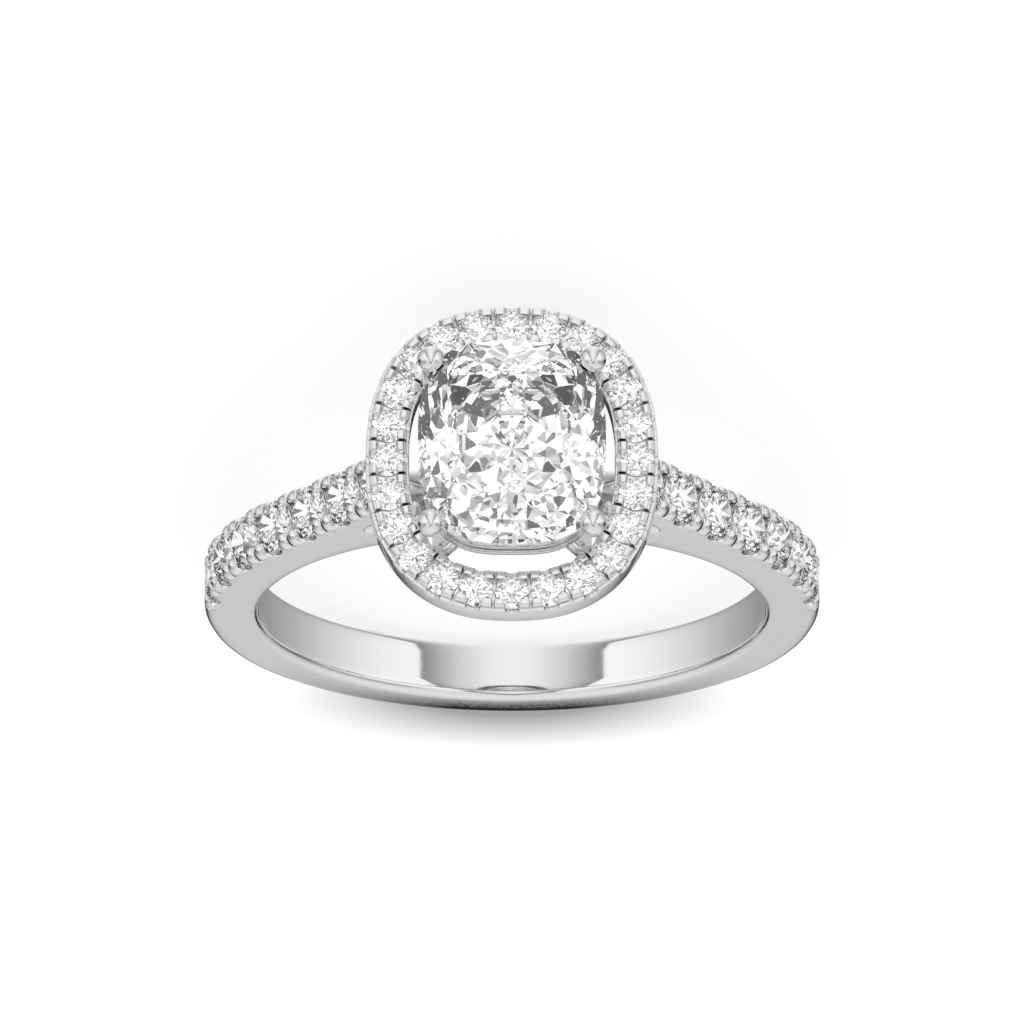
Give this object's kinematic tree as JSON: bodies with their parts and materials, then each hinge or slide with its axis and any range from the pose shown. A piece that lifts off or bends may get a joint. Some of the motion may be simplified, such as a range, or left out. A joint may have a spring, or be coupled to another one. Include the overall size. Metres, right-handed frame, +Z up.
{
  "type": "cushion cut halo ring",
  "caption": "White metal ring with a cushion cut stone in round-tipped prongs, a stone-set halo and stone-set rising shoulders.",
  "frame": {"origin": "middle of the ring's footprint, on the surface it lies on", "axes": "+Z up from the surface; the head points towards -Y and is raised; the finger hole's axis leans from +Z towards +Y; +X runs across the head"},
  "size_m": [0.02, 0.0256, 0.0104],
  "materials": {
    "white_gold": "polished",
    "centre_diamond": "polished",
    "halo_diamond": "polished",
    "shoulder_diamond": "polished"
  },
  "bodies": {
    "root": {"ring_mounting": "white_gold", "centre_stone": "centre_diamond", "halo_stone_01": "halo_diamond", "halo_stone_02": "halo_diamond", "halo_stone_03": "halo_diamond", "halo_stone_04": "halo_diamond", "halo_stone_05": "halo_diamond", "halo_stone_06": "halo_diamond", "halo_stone_07": "halo_diamond", "halo_stone_08": "halo_diamond", "halo_stone_09": "halo_diamond", "halo_stone_10": "halo_diamond", "halo_stone_11": "halo_diamond", "halo_stone_12": "halo_diamond", "halo_stone_13": "halo_diamond", "halo_stone_14": "halo_diamond", "halo_stone_15": "halo_diamond", "halo_stone_16": "halo_diamond", "halo_stone_17": "halo_diamond", "halo_stone_18": "halo_diamond", "halo_stone_19": "halo_diamond", "halo_stone_20": "halo_diamond", "halo_stone_21": "halo_diamond", "halo_stone_22": "halo_diamond", "halo_stone_23": "halo_diamond", "halo_stone_24": "halo_diamond", "right_stone_1": "shoulder_diamond", "right_stone_2": "shoulder_diamond", "right_stone_3": "shoulder_diamond", "right_stone_4": "shoulder_diamond", "right_stone_5": "shoulder_diamond", "right_stone_6": "shoulder_diamond", "right_stone_7": "shoulder_diamond", "left_stone_1": "shoulder_diamond", "left_stone_2": "shoulder_diamond", "left_stone_3": "shoulder_diamond", "left_stone_4": "shoulder_diamond", "left_stone_5": "shoulder_diamond", "left_stone_6": "shoulder_diamond", "left_stone_7": "shoulder_diamond"}
  },
  "joints": []
}
